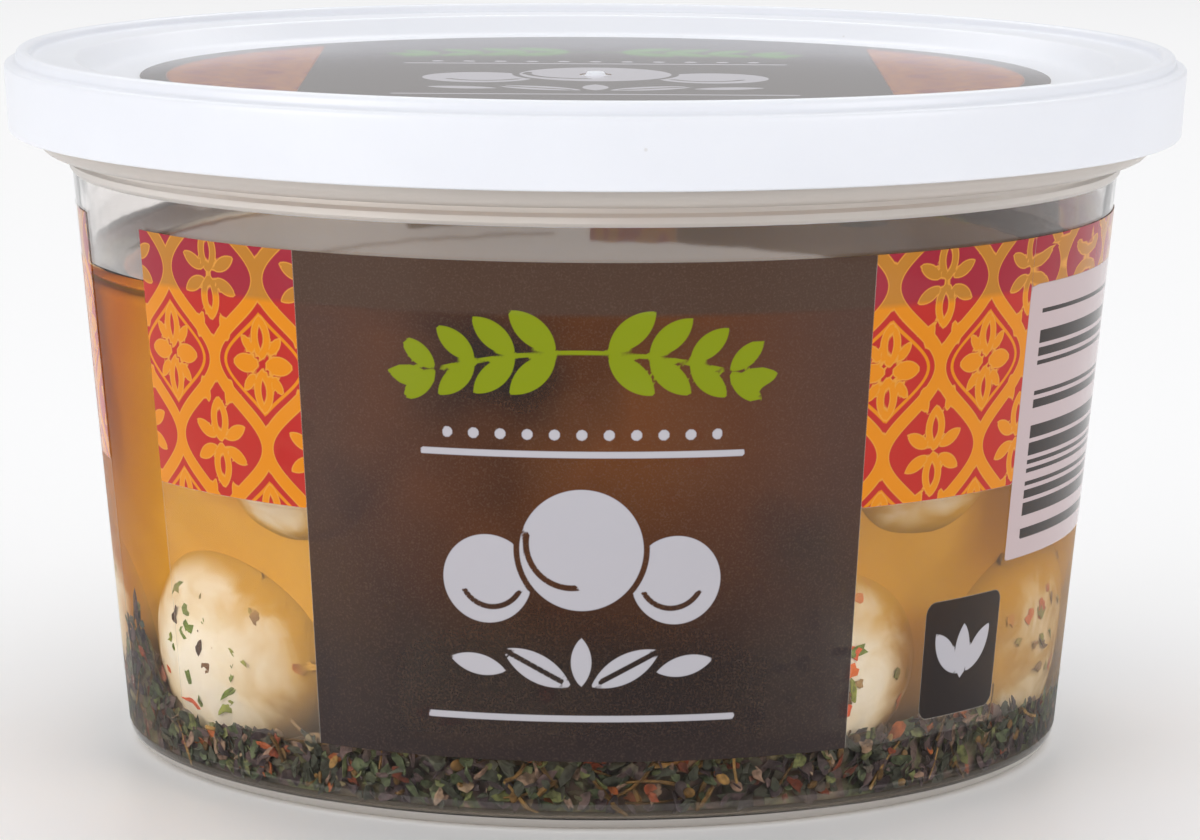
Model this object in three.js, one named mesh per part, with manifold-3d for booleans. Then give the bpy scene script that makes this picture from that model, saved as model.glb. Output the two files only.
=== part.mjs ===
// A round snap-lid food tub of marinated mozzarella: a clear tapered tub, a white lid, a wrap-round
// label, a heap of small cheese balls and a bed of herbs under them. Millimetres, +Z up.
// The origin is the middle of the tub's foot ring, on the surface that the tub stands on.
// The front of the label faces -Y.

import * as THREE from "three";
import { mergeVertices } from "three/addons/utils/BufferGeometryUtils.js";
import Module from "manifold-3d";

const wasm = await Module();
wasm.setup();

// Driving sizes
const roundSegments = 60; // facets round the tub, the lid and the label
const clearance = 0.3; // gap left between neighbouring solids
const facetSlack = 0.1; // more gap where two faceted curves meet
const fullTurn = 2 * Math.PI;

const wallRadiusAtFloor = 46.6; // outer radius of the tapered wall, carried down to the table
const wallTaper = 0.093; // outward slope of the wall, mm of radius per mm of height
const wallThickness = 0.7;
const baseCornerRadius = 1.8;
const innerCornerRadius = 1.4;
const floorTop = 1.3; // inside of the floor
const footRecess = 0.6; // how far the middle of the base is raised off the table
const footRecessRadius = 38;

const ledgeBottom = 58.9; // height where the wall turns out into the collar
const ledgeThickness = 0.9;
const ledgeFillet = 0.5; // inside radius where the wall meets the ledge
const collarRadius = 55.2; // outer radius of the stacking collar under the lid
const collarEdgeRadius = 1.1; // rounding of the collar's lower edge
const rimRadius = 56.9; // outer radius of the snap rim that the lid grips
const rimBottom = 63.6;
const rimTop = 66.5;

const lidRadius = 58.5;
const lidThickness = 1;
const skirtBottom = 60.8;
const skirtBottomRadius = 58.1;
const shoulderHeight = 67.5; // where the skirt steps in under the bead
const beadOuterRadius = 57.4;
const beadInnerRadius = 56.1;
const beadTop = 68.8;
const lidRingHeight = 67.9; // flat ring between the bead and the recess
const recessTopRadius = 51.6;
const recessFloorRadius = 49.6;
const recessFloor = 65.9; // sunken panel of the lid
const smallBevel = 0.3;
const gateNubRadius = 1.1; // moulding point in the middle of the lid
const gateNubHeight = 0.4;
const snapBeadRadius = 56.4; // inward bead at the foot of the skirt
const snapBeadHeight = 1.2;

const labelBottom = 6.8;
const labelTop = 53.7;
const labelThickness = 0.3;
const labelGapStart = -73; // degrees round from the front, towards +X: the label leaves a clear strip
const labelGapEnd = -56.3;

const ballRadius = 11.3;
const ballSpread = 0.5; // how much the radii differ
const ballWallGap = 1.1; // oil between a ball and the wall
const ballHeightSpread = 0.8;
const ballTurnSpread = 2; // degrees that a ball may sit off its even place round the tub
const ballLeastSquash = 0.93; // height over width of the flattest ball
const ballSquashSpread = 0.06;
const ballLean = 0.2; // share of a ball's turn that it also leans by
const ballSeed = 1023;
const lowerBalls = { count: 9, pitch: 40.2, first: -53.5, height: 13.9 };
const upperBalls = { count: 8, pitch: 42, first: -38, height: 35.6 };
const heapCoreRadius = 27;
const heapCoreBottom = 9;
const heapCoreTop = 42;
const heapCoreSlope = 4; // how far in its top and bottom faces end
const heapCoreShoulder = 6;

const bedDepth = 7; // mean height of the herb bed's top over the table
const bedSwell = 1.3; // height of its mounds
const broadMounds = { count: 3, phase: 0.8, share: 0.6 };
const narrowMounds = { count: 5, twist: 0.05, share: 0.4 };
const middleSwell = 0.4; // share of the swell that the bed's middle has
const swellReach = 75; // distance from the axis over which the swell grows by its whole height
const bedRoughness = 0.45; // height of its small bumps
const bedDrifts = [ // herbs banked up against the wall between two balls
  { angle: -71, height: 10, spread: 6.5 },
  { angle: 52, height: 2.5, spread: 9 },
  { angle: 172, height: 4.5, spread: 8 },
];
const driftReach = 7; // how far a drift runs in from the wall
const bedRings = 9;
const bedSeed = 21;

const degrees = Math.PI / 180;

// A seeded random draw from 0 to 1, so that every build is the same.
function makeRandom(seed) {
  let state = seed;
  return () => {
    state = (state * 1664525 + 1013904223) % 4294967296;
    return state / 4294967296;
  };
}

// Points of an arc in the (radius, height) plane. Angle 0 points outwards and 90 up.
function arc(centreR, centreZ, radius, from, to, steps) {
  return Array.from({ length: steps + 1 }, (_, i) => {
    const angle = (from + ((to - from) * i) / steps) * degrees;
    return [centreR + radius * Math.cos(angle), centreZ + radius * Math.sin(angle)];
  });
}

function wallRadius(z) {
  return wallRadiusAtFloor + wallTaper * z;
}

// Turns a profile of [radius, height] points round the Z axis.
function turned(profile) {
  const points = profile.map(([r, z]) => new THREE.Vector2(Math.max(r, 0), z));
  return new THREE.LatheGeometry(points, roundSegments).rotateX(Math.PI / 2);
}

function solidOf(geometry) {
  const bare = geometry.clone();
  for (const name of Object.keys(bare.attributes)) {
    if (name !== "position") bare.deleteAttribute(name);
  }
  const merged = mergeVertices(bare, 1e-4);
  return new wasm.Manifold(
    new wasm.Mesh({
      numProp: 3,
      vertProperties: merged.attributes.position.array,
      triVerts: new Uint32Array(merged.index.array),
    }),
  );
}

function geometryOf(solid) {
  const { vertProperties, triVerts } = solid.getMesh();
  const geometry = new THREE.BufferGeometry();
  geometry.setAttribute("position", new THREE.BufferAttribute(vertProperties, 3));
  geometry.setIndex(new THREE.BufferAttribute(triVerts, 1));
  geometry.computeVertexNormals();
  return geometry;
}

const slant = Math.hypot(1, wallTaper);
const taperAngle = Math.atan(wallTaper) / degrees;

// The arc between a floor and the tapered wall, from the floor up, for a surface set in from the wall's outside.
function cornerArc(radius, inset, floor, steps) {
  const centre = [wallRadius(floor + radius) - (inset + radius) * slant, floor + radius];
  return arc(...centre, radius, -90, -taperAngle, steps);
}

function tubGeometry() {
  const collarInner = collarRadius - wallThickness;
  const ledgeTop = ledgeBottom + ledgeThickness;
  const outerEdge = [collarRadius - collarEdgeRadius, ledgeBottom + collarEdgeRadius];
  const innerEdge = [wallRadius(ledgeTop) - wallThickness * slant + ledgeFillet, ledgeTop - ledgeFillet];
  const outside = [
    [0, footRecess],
    [footRecessRadius, footRecess],
    [footRecessRadius + 1, 0],
    ...cornerArc(baseCornerRadius, 0, 0, 4),
    [wallRadius(ledgeBottom - smallBevel), ledgeBottom - smallBevel],
    [wallRadius(ledgeBottom) + smallBevel, ledgeBottom],
    ...arc(...outerEdge, collarEdgeRadius, -90, 0, 4),
    [collarRadius, rimBottom],
    [rimRadius, rimBottom + smallBevel],
    [rimRadius, rimTop - smallBevel],
    [rimRadius - smallBevel, rimTop],
  ];
  const inside = [
    [collarInner + smallBevel, rimTop],
    [collarInner, rimTop - smallBevel],
    [collarInner, ledgeTop + smallBevel],
    [collarInner - smallBevel, ledgeTop],
    ...arc(...innerEdge, ledgeFillet, 90, 180, 3),
    ...cornerArc(innerCornerRadius, wallThickness * slant, floorTop, 4).reverse(),
    [0, floorTop],
  ];
  return turned([...outside, ...inside]);
}

function lidGeometry() {
  const innerSkirtRadius = rimRadius + clearance;
  const top = [
    [0, recessFloor + gateNubHeight],
    [gateNubRadius - smallBevel, recessFloor + gateNubHeight],
    [gateNubRadius, recessFloor],
    [recessFloorRadius - smallBevel, recessFloor],
    [recessFloorRadius + smallBevel, recessFloor + smallBevel],
    [recessTopRadius - smallBevel, lidRingHeight - smallBevel],
    [recessTopRadius + smallBevel, lidRingHeight],
    [beadInnerRadius - smallBevel, lidRingHeight],
    [beadInnerRadius, beadTop - smallBevel],
    [beadInnerRadius + smallBevel, beadTop],
    [beadOuterRadius - smallBevel, beadTop],
    [beadOuterRadius, beadTop - smallBevel],
    [beadOuterRadius, shoulderHeight + smallBevel],
    [lidRadius - smallBevel, shoulderHeight],
    [lidRadius, shoulderHeight - smallBevel],
    [skirtBottomRadius, skirtBottom + smallBevel],
    [skirtBottomRadius - smallBevel, skirtBottom],
  ];
  const underside = [
    [snapBeadRadius + smallBevel, skirtBottom],
    [snapBeadRadius, skirtBottom + smallBevel],
    [innerSkirtRadius, skirtBottom + snapBeadHeight],
    [innerSkirtRadius, rimTop + clearance],
    [recessTopRadius, rimTop + clearance],
    [recessFloorRadius, recessFloor - lidThickness],
    [0, recessFloor - lidThickness],
  ];
  return turned([...top, ...underside].reverse());
}

// A wedge with its edge on the axis, between two angles from the front.
function wedge(from, to, reach, bottom, top, steps = 4) {
  const outline = new THREE.Shape([new THREE.Vector2(0, 0)]);
  for (let i = 0; i <= steps; i++) {
    const angle = (from + ((to - from) * i) / steps) * degrees;
    outline.lineTo(reach * Math.sin(angle), -reach * Math.cos(angle));
  }
  outline.closePath();
  return new THREE.ExtrudeGeometry(outline, { depth: top - bottom, bevelEnabled: false }).translate(0, 0, bottom);
}

function labelGeometry() {
  const inner = (z) => wallRadius(z) + clearance;
  const outer = (z) => inner(z) + labelThickness;
  const ring = turned([
    [inner(labelBottom), labelBottom],
    [outer(labelBottom), labelBottom],
    [outer(labelTop), labelTop],
    [inner(labelTop), labelTop],
    [inner(labelBottom), labelBottom],
  ]);
  const gap = wedge(labelGapStart, labelGapEnd, lidRadius * 1.3, labelBottom - 1, labelTop + 1);
  return geometryOf(solidOf(ring).subtract(solidOf(gap)));
}

// The cheese balls of one ring: where each is, its radius, and how much it is squashed.
function ballRing({ count, pitch, first, height }, random) {
  return Array.from({ length: count }, (_, i) => {
    const radius = ballRadius + (random() * 2 - 1) * ballSpread;
    const z = height + (random() * 2 - 1) * ballHeightSpread;
    const angle = (first + i * pitch + (random() * 2 - 1) * ballTurnSpread) * degrees;
    const reach = wallRadius(z) - wallThickness - ballWallGap - radius;
    return {
      centre: new THREE.Vector3(reach * Math.sin(angle), -reach * Math.cos(angle), z),
      radius,
      squash: ballLeastSquash + random() * ballSquashSpread,
      turn: random() * Math.PI,
    };
  });
}

function allBalls() {
  const random = makeRandom(ballSeed);
  return [...ballRing(lowerBalls, random), ...ballRing(upperBalls, random)];
}

function ballGeometry({ centre, radius, squash, turn }, swell = 0) {
  return new THREE.IcosahedronGeometry(radius + swell, 2)
    .scale(1, 1, squash)
    .rotateY(turn * ballLean)
    .rotateZ(turn)
    .translate(centre.x, centre.y, centre.z);
}

function cheeseBallsGeometry() {
  const core = turned([
    [0, heapCoreBottom],
    [heapCoreRadius - heapCoreSlope, heapCoreBottom],
    [heapCoreRadius, heapCoreBottom + heapCoreShoulder],
    [heapCoreRadius, heapCoreTop - heapCoreShoulder],
    [heapCoreRadius - heapCoreSlope, heapCoreTop],
    [0, heapCoreTop],
  ]);
  const joined = allBalls().reduce((heap, ball) => heap.add(solidOf(ballGeometry(ball))), solidOf(core));
  return geometryOf(joined);
}

// Height of the herb bed's top: broad mounds, drifts against the wall, and small bumps on them.
function bedHeight(r, angle, random) {
  const broad = Math.sin(angle * broadMounds.count + broadMounds.phase) * broadMounds.share;
  const narrow = Math.sin(angle * narrowMounds.count - r * narrowMounds.twist) * narrowMounds.share;
  const fromWall = Math.max(0, wallRadius(bedDepth) - r) / driftReach;
  const drifts = bedDrifts.map((drift) => {
    const turn = (((angle / degrees - drift.angle + 540) % 360) - 180) / drift.spread;
    return drift.height * Math.exp(-turn * turn - fromWall * fromWall);
  });
  const bumps = (random() * 2 - 1) * bedRoughness;
  const swell = bedSwell * (broad + narrow) * (middleSwell + r / swellReach);
  return bedDepth + swell + Math.max(...drifts) + bumps;
}

// A closed disc on the tub's floor with a rounded lower edge and an uneven top.
function herbBedGeometry() {
  const random = makeRandom(bedSeed);
  const bottom = floorTop + clearance;
  const inset = (wallThickness + clearance) * slant;
  const rim = (z) => wallRadius(z) - inset;
  const lowerEdge = cornerArc(innerCornerRadius - clearance, inset, bottom, 2);
  const positions = [0, 0, bottom];
  const point = (r, angle, z) => positions.push(r * Math.sin(angle), -r * Math.cos(angle), z);
  const rings = [];
  const addRing = (radiusAt, heightAt) => {
    const first = positions.length / 3;
    for (let i = 0; i < roundSegments; i++) {
      const angle = (i / roundSegments) * fullTurn;
      const z = heightAt(angle);
      point(radiusAt(z), angle, z);
    }
    rings.push(first);
  };
  for (const [r, z] of lowerEdge) addRing(() => r, () => z);
  for (let ring = bedRings; ring >= 1; ring--) {
    const share = ring / bedRings;
    const radiusAt = (z) => rim(z) * share - (ring === bedRings ? facetSlack : 0);
    addRing(radiusAt, (angle) => bedHeight(rim(bedDepth) * share, angle, random));
  }
  const last = positions.length / 3;
  positions.push(0, 0, bedDepth);
  const faces = [];
  const next = (i) => (i + 1) % roundSegments;
  for (let i = 0; i < roundSegments; i++) faces.push(0, rings[0] + next(i), rings[0] + i);
  for (let k = 0; k + 1 < rings.length; k++) {
    for (let i = 0; i < roundSegments; i++) {
      const [a, b] = [rings[k] + i, rings[k] + next(i)];
      const [c, d] = [rings[k + 1] + i, rings[k + 1] + next(i)];
      faces.push(a, b, d, a, d, c);
    }
  }
  const top = rings[rings.length - 1];
  for (let i = 0; i < roundSegments; i++) faces.push(top + i, top + next(i), last);
  const geometry = new THREE.BufferGeometry();
  geometry.setAttribute("position", new THREE.Float32BufferAttribute(positions, 3));
  geometry.setIndex(faces);
  const hollows = allBalls().map((ball) => solidOf(ballGeometry(ball, clearance + facetSlack)));
  return geometryOf(hollows.reduce((bed, hollow) => bed.subtract(hollow), solidOf(geometry)));
}

const clearPolypropylene = new THREE.MeshStandardMaterial({
  color: 0xe9e4dd,
  roughness: 0.12,
  metalness: 0,
  transparent: true,
  opacity: 0.3,
});
const whitePolyethylene = new THREE.MeshStandardMaterial({ color: 0xeceef4, roughness: 0.4, metalness: 0 });
const printedFilm = new THREE.MeshStandardMaterial({ color: 0x4b3b35, roughness: 0.35, metalness: 0 });
const mozzarella = new THREE.MeshStandardMaterial({ color: 0xf3ead6, roughness: 0.45, metalness: 0 });
const soakedHerbs = new THREE.MeshStandardMaterial({ color: 0x55563c, roughness: 0.7, metalness: 0 });

const pieces = [
  ["tub", tubGeometry(), clearPolypropylene],
  ["lid", lidGeometry(), whitePolyethylene],
  ["label", labelGeometry(), printedFilm],
  ["cheese_balls", cheeseBallsGeometry(), mozzarella],
  ["herb_bed", herbBedGeometry(), soakedHerbs],
];

const mozzarellaTub = new THREE.Group();
for (const [name, geometry, material] of pieces) {
  const mesh = new THREE.Mesh(geometry, material);
  mesh.name = name;
  mozzarellaTub.add(mesh);
}

export default mozzarellaTub;
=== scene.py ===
# A shut snap-lid tub of marinated mozzarella: clear tub, white lid, printed film label,
# cheese balls in cloudy oil and a bed of soaked herbs. Sizes are in millimetres until a mesh is made.

import math

import bmesh
import bpy
import numpy as np
from mathutils import Matrix, Vector


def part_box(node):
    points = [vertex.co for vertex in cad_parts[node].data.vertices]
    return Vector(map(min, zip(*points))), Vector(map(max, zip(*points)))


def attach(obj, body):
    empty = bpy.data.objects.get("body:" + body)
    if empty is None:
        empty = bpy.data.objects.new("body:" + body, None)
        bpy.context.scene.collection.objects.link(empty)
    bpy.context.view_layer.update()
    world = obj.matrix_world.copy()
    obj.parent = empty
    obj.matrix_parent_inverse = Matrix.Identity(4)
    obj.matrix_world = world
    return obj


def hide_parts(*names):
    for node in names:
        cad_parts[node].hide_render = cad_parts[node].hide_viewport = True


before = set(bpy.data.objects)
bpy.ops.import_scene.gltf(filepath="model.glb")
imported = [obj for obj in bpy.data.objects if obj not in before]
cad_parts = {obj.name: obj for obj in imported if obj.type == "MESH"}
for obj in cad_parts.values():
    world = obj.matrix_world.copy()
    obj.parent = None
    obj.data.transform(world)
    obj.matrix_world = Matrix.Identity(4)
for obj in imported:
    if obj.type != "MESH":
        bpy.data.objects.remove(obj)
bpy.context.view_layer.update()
print("frame loaded:", sorted(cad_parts))

metresPerMm = 0.001


def boxInMm(node):
    low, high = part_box(node)
    return np.array(low) / metresPerMm, np.array(high) / metresPerMm


tubTop = boxInMm("tub")[1][2]
lidLow, lidHigh = boxInMm("lid")

# What several pieces share. Angles run in degrees from the front, -Y, towards +X.
tub = {
    "radiusAtTable": 46.6,
    "taper": 0.093,  # mm of radius for each mm of height
    "thickness": 0.7,
    "cornerRadius": 1.8,
    "innerCornerRadius": 1.4,
    "floorTop": 1.3,
    "footRecess": 0.6,
    "footRadius": 38,
    "footFrosted": 1.0,  # height up to which the mould is blasted
    "cornerTop": 1.9,  # where the rounded corner has become straight wall
    "ledgeBottom": 58.9,
    "ledgeThickness": 0.9,
    "collarRadius": 55.2,
    "collarEdge": 1.1,
    "rimRadius": 56.9,
    "rimBottom": 63.6,
    "rimTop": tubTop,
    "beadLow": 56.9,  # a low bead round the wall, just under the collar
    "beadHigh": 58.2,
    "beadStands": 0.28,
    "beadSlope": 0.35,  # height of its rounded edge
    "segments": 240,
}
# The cloudy oil: how high it stands and how it hides what is in it
oil = {
    "level": 47.5,
    "intoWall": 0.15,  # the oil's outside sits this far inside the plastic, so that no air shows
    "meniscus": 1.3,  # how far the oil creeps up the wall
    "hazeStart": 0.9,
    "cheeseHaze": 6.6,  # depth of oil that hides the white cheese
    "plantHaze": 8.0,  # the same for the dark herbs, which show through more of it
    "thickFrom": 27.0,  # towards this side, mm from the middle, the cloud is thicker
    "thickTo": 37.0,
    "thicker": 3.0,  # as if the things there lay this much deeper
    "amberDepth": 7.6,  # where the pale haze over a thing has gone over to the oil's own amber
    "cloudDepth": 11.0,  # depth of the cloud's own body, past which nothing shows
    "cloudFlare": 8.0,  # how much nearer to the wall that body comes at its top
    "cloudBottom": 6.0,
    "cloudBelowFace": 0.6,
}
oilTop = oil["level"] + oil["meniscus"]


def wallRadius(z):
    return tub["radiusAtTable"] + tub["taper"] * z


def innerRadius(z):
    return wallRadius(z) - tub["thickness"]


def onWall(z, *rounding):
    # A corner of a profile that lies on the wall's outside.
    return (wallRadius(z), z, *rounding)


def aroundAxis(radius, degrees, z):
    angle = np.radians(degrees)
    z = np.broadcast_to(z, np.broadcast(radius, angle, z).shape)
    return np.stack([radius * np.sin(angle), -radius * np.cos(angle), z], axis=-1)


# Meshes

def makePiece(name, points, faces, materials, smoothAngle=40):
    # Points in mm.
    mesh = bpy.data.meshes.new(name)
    mesh.from_pydata((np.asarray(points) * metresPerMm).tolist(), [], faces)
    mesh.validate()
    for material in materials:
        mesh.materials.append(material)
    mesh.polygons.foreach_set("use_smooth", [True] * len(mesh.polygons))
    mesh.set_sharp_from_angle(angle=math.radians(smoothAngle))
    piece = bpy.data.objects.new(name, mesh)
    bpy.context.scene.collection.objects.link(piece)
    return piece


def filleted(corners, steps=5):
    # corners are (radius, height) or (radius, height, rounding).
    points = []
    count = len(corners)
    for i, corner in enumerate(corners):
        here = np.array(corner[:2], float)
        rounding = corner[2] if len(corner) > 2 else 0
        if not rounding or i in (0, count - 1):
            points.append(here)
            continue
        back = np.array(corners[i - 1][:2], float) - here
        ahead = np.array(corners[i + 1][:2], float) - here
        back /= np.linalg.norm(back)
        ahead /= np.linalg.norm(ahead)
        half = math.acos(np.clip(np.dot(back, ahead), -1, 1)) / 2
        reach = rounding / math.tan(half)
        middle = (back + ahead) / np.linalg.norm(back + ahead)
        centre = here + middle * rounding / math.sin(half)
        start = here + back * reach - centre
        end = here + ahead * reach - centre
        turn = math.pi - 2 * half
        for k in range(steps + 1):
            t = k / steps
            along = math.sin((1 - t) * turn) * start + math.sin(t * turn) * end
            points.append(centre + along / math.sin(turn))
    return points


def lathed(profile, segments):
    # Turns a profile that starts and ends on the axis round it. It runs upwards on the outside.
    points = []
    faces = []
    rings = []
    angles = np.arange(segments) * 360 / segments
    for radius, z in profile:
        rings.append((len(points), radius > 1e-6))
        if radius > 1e-6:
            points.extend(aroundAxis(radius, angles, z).tolist())
        else:
            points.append([0, 0, z])
    for (low, lowIsRing), (high, highIsRing) in zip(rings, rings[1:]):
        for i in range(segments):
            j = (i + 1) % segments
            face = [low + i, low + j] if lowIsRing else [low]
            face += [high + j, high + i] if highIsRing else [high]
            if len(face) > 2:
                faces.append(face)
    return points, faces


def gridFaces(rows, columns, closed=False):
    # Quads of a grid of points, row by row. A closed grid joins its last row to its first.
    pairs = [(r, (r + 1) % rows) for r in range(rows if closed else rows - 1)]
    return [[a * columns + c, a * columns + c + 1, b * columns + c + 1, b * columns + c]
            for a, b in pairs for c in range(columns - 1)]


# Materials

def linear(hexColour):
    channels = [int(hexColour[i:i + 2], 16) / 255 for i in (1, 3, 5)]
    curved = [c / 12.92 if c <= 0.04045 else ((c + 0.055) / 1.055) ** 2.4 for c in channels]
    return (*curved, 1)


def newMaterial(name):
    material = bpy.data.materials.new(name)
    material.use_nodes = True
    material.node_tree.nodes.clear()
    return material


def addNode(material, kind, inputs=(), **settings):
    # inputs maps a socket's name or number to a value, a hex colour, a node's output or a node, which stands
    # for its first output.
    node = material.node_tree.nodes.new("ShaderNode" + kind)
    for key, value in settings.items():
        setattr(node, key, value)
    for key, value in dict(inputs).items():
        if isinstance(value, str):
            value = linear(value)
        elif isinstance(value, bpy.types.Node):
            value = value.outputs[0]
        if isinstance(value, bpy.types.NodeSocket):
            material.node_tree.links.new(value, node.inputs[key])
        else:
            node.inputs[key].default_value = value
    return node


def finishMaterial(material, shader):
    addNode(material, "OutputMaterial", {"Surface": shader})
    return material


def lampsPass(material, shader, tint):
    # Lets the studio light through a clear shell: shadow rays meet a plain tint instead of the glass.
    path = addNode(material, "LightPath")
    plain = addNode(material, "BsdfTransparent", {"Color": tint})
    return addNode(material, "MixShader", {0: path.outputs["Is Shadow Ray"], 1: shader, 2: plain})


# Shapes of the print, as signed distances in mm: below 0 inside the ink

def leafShape(x, y, length, width):
    # A pointed leaf that lies along y, centred on the origin.
    radius = (length ** 2 / 4 + width ** 2 / 4) / width
    return np.hypot(np.abs(x) + radius - width / 2, y) - radius


def turnedBy(x, y, degrees):
    angle = math.radians(degrees)
    return x * math.cos(angle) + y * math.sin(angle), y * math.cos(angle) - x * math.sin(angle)


def boxShape(x, y, left, right, bottom, top, rounding=0.0):
    dx = np.abs(x - (left + right) / 2) - (right - left) / 2 + rounding
    dy = np.abs(y - (bottom + top) / 2) - (top - bottom) / 2 + rounding
    outside = np.hypot(np.maximum(dx, 0), np.maximum(dy, 0))
    return outside + np.minimum(np.maximum(dx, dy), 0) - rounding


def stroke(distance, width):
    return np.abs(distance) - width / 2


damask = {
    "cellWidth": 12.0,
    "cellHeight": 16.0,
    "bandWidth": 1.3,  # the curved bands of the lattice
    "lineGap": 1.45,  # from a band's middle to the thin line inside it
    "petalLength": 4.3,
    "petalWidth": 2.2,
}


def damaskShape(x, y):
    # A common ogee lattice: curved bands, a four-petalled flower in each cell and buds between.
    # Gives the figure, and the thin line that follows the bands
    w = damask["cellWidth"]
    h = damask["cellHeight"]
    px = np.abs((x / w) % 1 - 0.5) * w
    py = np.abs((y / h) % 1 - 0.5) * h
    phase = 2 * math.pi * py / h
    curve = w / 4 * (1 + np.cos(phase))
    slope = w / 4 * 2 * math.pi / h * np.sin(phase)
    lattice = (px - curve) / np.sqrt(1 + slope ** 2)
    petal, width = damask["petalLength"], damask["petalWidth"]
    shapes = [
        stroke(lattice, damask["bandWidth"]),
        leafShape(px, py - petal / 2 - 0.4, petal, width),
        leafShape(py, px - petal / 2 + 0.2, petal * 0.75, width * 0.8),
        leafShape(*turnedBy(px - 1.6, py - 1.8, -40), 2.3, 0.95),
        leafShape(w / 2 - px, h / 2 - py - 2.2, 4.4, 2.3),
        leafShape(*turnedBy(w / 2 - px - 2.0, h / 2 - py - 1.1, -62), 3.0, 1.25),
        leafShape(*turnedBy(w / 2 - px - 1.6, py - 3.1, 18), 2.6, 1.0),
        np.hypot(w / 2 - px - 1.1, h / 2 - py - 5.4) - 0.45,
    ]
    figure = np.minimum.reduce(shapes)
    budVein = leafShape(w / 2 - px, h / 2 - py - 2.2, 2.6, 0.8)
    petalVein = leafShape(px, py - petal / 2 - 0.4, petal * 0.6, 0.7)
    return np.maximum(figure, -np.minimum(budVein, petalVein)), lattice + damask["lineGap"]


def sprigShape(x, y, halfSpan, leafLength, sag):
    # Two mirrored sprigs of basil leaves that meet in the middle, bowed down by sag.
    px = np.abs(x)
    stemY = sag * (px / halfSpan) ** 2
    shapes = [np.maximum(np.abs(y - stemY) - 0.22, px - halfSpan + leafLength * 0.5)]
    count = round(halfSpan / (leafLength * 0.62))
    for i in range(count):
        along = (i + 0.7) * halfSpan / (count + 0.3)
        size = leafLength * (1 - 0.35 * i / count)
        for side in (1, -1):
            cx = along + size * 0.33
            cy = sag * (along / halfSpan) ** 2 + side * size * 0.36
            shapes.append(leafShape(*turnedBy(px - cx, y - cy, -90 + side * 42), size, size * 0.44))
    shapes.append(leafShape(*turnedBy(px - halfSpan, y - sag, -80), leafLength * 0.8, leafLength * 0.36))
    return np.minimum.reduce(shapes)


def ballsAndLeavesShape(x, y, scale):
    # Line drawing in pale ink: three round cheeses over a pair of leaves, between two rules.
    x = x / scale
    y = y / scale
    big = np.hypot(x, y - 2.4) - 5.6
    small = np.hypot(np.abs(x) - 8.6, y + 0.4) - 4.1
    gap = np.maximum(small, -(big - 0.55))
    shading = stroke(np.hypot(x + 0.9, y - 3.0) - 4.1, 0.55)
    shading = np.maximum(shading, x + y * 0.9 + 1.2)
    smallShading = stroke(np.hypot(np.abs(x) - 8.2, y + 0.1) - 2.9, 0.5)
    smallShading = np.maximum(smallShading, y + 1.4)
    cheeses = np.maximum(np.minimum(big, gap), -np.minimum(shading, smallShading))
    px = np.abs(x)
    leaves = [
        leafShape(*turnedBy(px - 4.1, y + 8.6, -62), 7.2, 2.6),
        leafShape(*turnedBy(px - 9.6, y + 8.4, -78), 5.4, 1.9),
        leafShape(x, y + 8.0, 4.6, 1.9),
    ]
    veins = stroke(turnedBy(px - 4.1, y + 8.6, -62)[0], 0.5)
    pairs = np.maximum(np.minimum.reduce(leaves), -np.maximum(veins, 1.6 - px))
    rules = np.minimum(boxShape(px, y, -1, 14.5, 10.9, 11.5), boxShape(px, y, -1, 14.5, -13.6, -13.0))
    dots = np.hypot(((x / 2.4 + 0.5) % 1 - 0.5) * 2.4, y - 13.0) - 0.5
    dots = np.maximum(dots, px - 12.4)
    return np.minimum.reduce([cheeses, pairs, rules, dots]) * scale


# What the label carries, in degrees round from the front and mm up from the table
label = {
    "from": -56.3,
    "to": 287.0,
    "bottom": 6.8,
    "top": 53.7,
    "offWall": 0.03,
    "film": 0.07,
    "mmPerDegree": 0.862,  # at mid height
    "brownPanels": [(-32.4, 30.0), (107.4, 169.8)],
    "ornament": [
        (-60.0, -32.4, 29.4),  # from, to, bottom
        (30.0, 53.5, 29.9),
        (53.5, 83.5, 49.1),
        (83.5, 107.4, 29.4),
        (169.8, 180.6, 29.4),
        (281.0, 290.0, 29.4),
    ],
    "barPanel": (53.5, 83.5, 22.4, 49.1),
    "bars": (56.3, 81.0, 24.2, 47.3),
    "darkPatch": (40.3, 53.4, 8.4, 19.8),
    "tableFrame": (184.0, 272.0, 10.0, 53.2),
    "plainSpan": (180.6, 281.0),  # the table's ground and the clear strip
    "drawing": (10.0, 39.0, 17.6),  # the pale drawing's bottom, top and half width in degrees
    "offSheet": 80,  # a height past the sheet's top
    "columnSteps": (0.36, 0.42, 1.2, 1.5),  # degrees: in the drawing, the ornament, the panels and the rest
    "rowSteps": (0.8, 0.3, 0.38),  # mm: below the drawing, in it and above it
}


def labelColumns():
    # Angles of the film's columns: close together where the print is fine.
    fine, ornament, panel, rest = label["columnSteps"]
    barLeft, barRight, barBottom, barTop = label["barPanel"]
    spans = [(a, b, ornament) for a, b, low in label["ornament"] if low < barTop]
    spans += [(barLeft, barRight, rest), (*label["plainSpan"], rest)]
    reach = label["drawing"][2]
    for a, b in label["brownPanels"]:
        left = (a + b) / 2 - reach
        right = (a + b) / 2 + reach
        spans += [(a, left, panel), (left, right, fine), (right, b, panel)]
    columns = [np.arange(a, b, step) for a, b, step in spans]
    columns = np.concatenate(columns + [[label["from"], label["to"]]])
    return np.unique(np.round(columns[(columns >= label["from"]) & (columns <= label["to"])], 3))


def labelRows():
    low, high = label["drawing"][:2]
    edges = [label["bottom"], low, high, label["top"]]
    rows = [np.arange(a, b, step) for a, b, step in zip(edges, edges[1:], label["rowSteps"])]
    return np.concatenate(rows + [[label["top"]]])


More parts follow.
